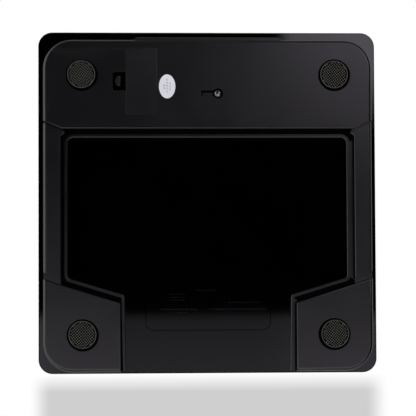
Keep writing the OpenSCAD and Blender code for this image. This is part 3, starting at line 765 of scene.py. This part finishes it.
def build_label():
    """Outline and broken print lines of the label, with no letters in them."""
    z = INK_UNDERSIDE - 0.17
    border = Shape()
    x, y0, y1, r = 55.4, -113.4, -68.6, 7
    line_loop(border, [(x, y0, r, "line"), (x, y1, r, "line"), (-x, y1, r, "line"), (-x, y0, r, "line")],
              0.5, z)
    border.build("label_border", "base", "label_film", LOOKS["label_edge"])
    lines = Shape()
    # x from, x to, y and thickness of each line, which is broken into dashes of four lengths in turn
    rows = [(-8, 10, -78.6, 1.0), (20, 35, -82, 0.7), (20, 35, -84.6, 0.7), (21, 34, -87.2, 0.7),
            (-47, -17, -89.3, 0.9), (10, 42, -95.5, 1.1), (-51, -1, -95.5, 1.1), (19, 35, -98.4, 0.8),
            (-50, -2, -102.6, 1.1)]
    dashes, gap = (3.2, 1.9, 4.4, 2.6), 0.7
    for x, stop, y, thick in rows:
        k = 0
        while x < stop:
            end = min(stop, x + dashes[k % 4])
            lines.sheet(x, end, y, y + thick, z)
            x, k = end + gap, k + 1
    lines.build("label_lines", "base", "label_film", LOOKS["label_ink"])


def build_sticker_print():
    """Rows of short dashes on the oval sticker."""
    marks = Shape()
    z = level(-0.14)
    for x, half in ((33.6, 3.4), (36.1, 5.2), (38.7, 2.4)):
        for k in range(int(half * 2 / 2.6) + 1):
            y = 102 - half + 2.6 * k
            marks.sheet(x - 0.55, x + 0.55, y, y + 1.5, z)
    marks.build("sticker_marks", "base", "sticker_vinyl", LOOKS["sticker_ink"])


def build_segments():
    """Unlit seven-segment digits of the display."""
    ghost = Shape()
    wide, tall, thick = 10.0, 19.0, 1.7
    for centre in (-21.0, -7.5, 6.0, 21.5):
        bars = [(0, tall / 2, wide - 2, thick), (0, 0, wide - 2, thick), (0, -tall / 2, wide - 2, thick)]
        bars += [(sx * wide / 2, sy * tall / 4, thick, tall / 2 - 2) for sx in (-1, 1) for sy in (-1, 1)]
        for x, y, w, h in bars:
            lean = 0.08 * y
            ghost.sheet(centre + lean + x - w / 2, centre + lean + x + w / 2,
                        LCD_Y + y - h / 2, LCD_Y + y + h / 2, SEGMENTS_Z, up=True)
    # Point before the last digit
    ghost.sheet(13, 14.8, 101.4, 103.2, SEGMENTS_Z, up=True)
    ghost.build("display_segments", "base", "display_glass", LOOKS["display_ghost"])


build_label()
build_sticker_print()
build_segments()


# ---------------------------------------------------------------- studio

def emitter(name):
    material = bpy.data.materials.new(name)
    material.use_nodes = True
    nodes, links = material.node_tree.nodes, material.node_tree.links
    nodes.clear()
    light = nodes.new("ShaderNodeEmission")
    links.new(light.outputs[0], nodes.new("ShaderNodeOutputMaterial").inputs["Surface"])
    return material, nodes, links, light


def plane(name, corners, material):
    mesh = bpy.data.meshes.new(name)
    mesh.from_pydata([tuple(c * MM for c in p) for p in corners], [], [(0, 1, 2, 3)])
    mesh.materials.append(material)
    obj = bpy.data.objects.new(name, mesh)
    bpy.context.scene.collection.objects.link(obj)
    return obj


def ramp(*args):
    return between(*args, "SMOOTHSTEP")


def maths(nodes, links, operation, first, second):
    """Math node of two values, each a plain number or a socket."""
    node = nodes.new("ShaderNodeMath")
    node.operation = operation
    for socket, value in zip(node.inputs, (first, second)):
        if isinstance(value, float):
            socket.default_value = value
        else:
            links.new(value, socket)
    return node.outputs[0]


def add(nodes, links, parts):
    total = parts[0]
    for part in parts[1:]:
        total = maths(nodes, links, "ADD", total, part)
    return total


CARD_Z = -1500.0
CARD_TINT = (1.0, 0.94, 1.07, 1.0)


def card(name, x_range, y_range, edges, glows):
    """Glowing card 1.5 m below the scale, seen only in reflections.

    edges and glows are (axis, from, to, value at from, value at to). The glows add up, then the edges fade
    them out.
    """
    material, nodes, links, light = emitter(name)
    place = axes(nodes, links)

    def soft(axis, start, end, first, last):
        return ramp(nodes, links, place["xy".index(axis)], start * MM, end * MM, first, last)

    strength = add(nodes, links, [soft(*g) for g in glows])
    for edge in edges:
        strength = maths(nodes, links, "MULTIPLY", strength, soft(*edge))
    links.new(strength, light.inputs["Strength"])
    light.inputs["Color"].default_value = CARD_TINT
    (x0, x1), (y0, y1), z = x_range, y_range, CARD_Z
    glowing = plane(name, [(x0, y0, z), (x1, y0, z), (x1, y1, z), (x0, y1, z)], material)
    glowing.visible_camera = False
    glowing.visible_diffuse = False
    glowing.visible_shadow = False
    glowing.visible_transmission = False


card("card_low", (-900, 900), (-1100, -80), [("y", -110, -90, 1.0, 0.0)],
     [("y", -200, -100, 0.46, 0.31), ("x", -340, -150, 0.34, 0.0), ("x", 90, 200, 0.0, 0.42),
      ("y", -420, -190, 1.2, 0.0)])
card("card_side", (260, 900), (-80, 160), [("y", 40, 160, 1.0, 0.0)], [("x", 260, 420, 0.2, 0.9)])
card("card_high", (-1300, -180), (170, 1100), [("x", -218, -192, 1.0, 0.0), ("y", 182, 300, 0.0, 1.0)],
     [("x", -340, -200, 1.9, 1.5)])


def build_floor():
    """Pale floor that only shows from above: its back is clear."""
    material, nodes, links, shader = new_material("pale_floor")
    place = nodes.new("ShaderNodeTexCoord").outputs["Object"]
    clouds = noise(nodes, links, place, 6.0)
    links.new(blend(nodes, links, clouds, (0.80, 0.80, 0.80, 1), (0.84, 0.84, 0.84, 1)),
              shader.inputs["Base Color"])
    shader.inputs["Roughness"].default_value = 0.6
    clear = nodes.new("ShaderNodeBsdfTransparent")
    mix = nodes.new("ShaderNodeMixShader")
    links.new(nodes.new("ShaderNodeNewGeometry").outputs["Backfacing"], mix.inputs["Fac"])
    links.new(shader.outputs[0], mix.inputs[1])
    links.new(clear.outputs[0], mix.inputs[2])
    links.new(mix.outputs[0], nodes["Material Output"].inputs["Surface"])
    size, z = 4000, -0.2
    floor = plane("floor", [(-size, -size, z), (size, -size, z), (size, size, z), (-size, size, z)], material)
    floor.visible_shadow = False
    floor.visible_diffuse = False
    floor.visible_glossy = False


# The table's grey patch is a painted reflection of the scale: its sides are straight lines that meet at the
# apex (x, z).
# It sets in as one over the distance from the apex, in metres, passes through PATCH_DEPTH; its sides fade
# between two slopes each.
PATCH_APEX = (109.0, -1973.0)
PATCH_DEPTH = (0.495, 0.65)
PATCH_LEFT, PATCH_RIGHT = (0.0147, 0.0253), (-0.136, -0.1247)
PATCH_TONE = 0.622
TABLE_Y = -152.5


def build_table():
    """Pale surface below the scale's user end, with a soft grey patch painted on it as a faint reflection."""
    material, nodes, links, light = emitter("pale_table")
    x, _, z = axes(nodes, links)
    away = maths(nodes, links, "ADD", z, -PATCH_APEX[1] * MM)
    nearness = maths(nodes, links, "DIVIDE", 1.0, away)
    across = maths(nodes, links, "DIVIDE", maths(nodes, links, "ADD", x, -PATCH_APEX[0] * MM), away)
    depth = between(nodes, links, nearness, *PATCH_DEPTH, 0.0, 1.0)
    left = ramp(nodes, links, across, *PATCH_LEFT, 1.0, 0.0)
    right = ramp(nodes, links, across, *PATCH_RIGHT, 0.0, 1.0)
    amount = maths(nodes, links, "MULTIPLY", depth, maths(nodes, links, "MULTIPLY", left, right))
    links.new(between(nodes, links, amount, 0.0, 1.0, 1.0, PATCH_TONE), light.inputs["Strength"])
    half, low, high = 1500, -1900, -1
    table = plane("studio_table", [(-half, TABLE_Y, low), (half, TABLE_Y, low), (half, TABLE_Y, high),
                                   (-half, TABLE_Y, high)], material)
    table.visible_diffuse = False
    table.visible_glossy = False
    table.visible_transmission = False
    table.visible_shadow = False


def build_world():
    """White to the camera; as a light, dark straight below, bright above and brightest on the +x side."""
    world = bpy.data.worlds.new("studio")
    bpy.context.scene.world = world
    world.use_nodes = True
    nodes, links = world.node_tree.nodes, world.node_tree.links
    nodes.clear()
    x, y, z = axes(nodes, links, "Generated")
    flank = maths(nodes, links, "MULTIPLY", ramp(nodes, links, z, -0.85, -0.45, 0.0, 1.0),
                  ramp(nodes, links, z, -0.05, 0.15, 1.0, 0.0))
    glow = add(nodes, links, [ramp(nodes, links, x, 0.25, 0.95, 0.0, 2.0),
                              ramp(nodes, links, y, -0.95, -0.25, 0.8, 0.0),
                              ramp(nodes, links, y, 0.25, 0.95, 0.0, 0.2)])
    path = nodes.new("ShaderNodeLightPath")
    # The floor gets more of the light from above than the mirror of the glass does
    fill = between(nodes, links, path.outputs["Is Diffuse Ray"], 0.0, 1.0, 0.6, 1.1)
    above = maths(nodes, links, "MULTIPLY", ramp(nodes, links, z, -0.02, 0.35, 0.0, 1.0), fill)
    total = add(nodes, links, [maths(nodes, links, "MULTIPLY", flank, glow), above])
    lit, seen = (nodes.new("ShaderNodeBackground") for _ in range(2))
    links.new(total, lit.inputs["Strength"])
    for background in (lit, seen):
        background.inputs["Color"].default_value = (1, 1, 1, 1)
    mix = nodes.new("ShaderNodeMixShader")
    links.new(path.outputs["Is Camera Ray"], mix.inputs["Fac"])
    links.new(lit.outputs[0], mix.inputs[1])
    links.new(seen.outputs[0], mix.inputs[2])
    links.new(mix.outputs[0], nodes.new("ShaderNodeOutputWorld").inputs["Surface"])


def softbox(name, place, size, watts):
    """Soft light on the scale's middle; it lights the scale but isn't mirrored in it."""
    data = bpy.data.lights.new(name, "AREA")
    data.shape = "RECTANGLE"
    data.size, data.size_y = size
    data.energy = watts
    light = bpy.data.objects.new(name, data)
    light.location = Vector(place) * MM
    light.rotation_euler = (Vector((0, 0, 10)) - Vector(place)).to_track_quat("-Z", "Y").to_euler()
    light.visible_glossy = False
    bpy.context.scene.collection.objects.link(light)


build_floor()
build_table()
build_world()
softbox("side_left", (1500, 200, -900), (0.9, 1.4), 15)
softbox("side_right", (-1500, 300, -900), (0.9, 1.4), 12)
softbox("far_end", (0, 1500, -900), (1.6, 0.7), 6)
softbox("key_above", (900, -700, 1600), (1.2, 1.2), 26)


# ---------------------------------------------------------------- camera

CAMERA = (108.975, -101.908, -1972.941)


def build_camera():
    """Almost straight below; place, turn and lens were fitted to the glass and the feet in the photograph."""
    right = Vector((-0.9984966, -0.00464666, -0.0546164))
    up = Vector((-0.00198349, 0.99881076, -0.04871472))
    back = Vector((0.05477781, -0.04853315, -0.99731837))
    data = bpy.data.cameras.new("camera")
    data.lens = 194.308
    data.sensor_width = 36.0
    data.clip_end = 50.0
    camera = bpy.data.objects.new("camera", data)
    turn = Matrix((right, up, back)).transposed().to_4x4()
    camera.matrix_world = Matrix.Translation(Vector(CAMERA) * MM) @ turn
    bpy.context.scene.collection.objects.link(camera)
    bpy.context.scene.camera = camera


build_camera()
bpy.context.scene.view_settings.view_transform = "Standard"
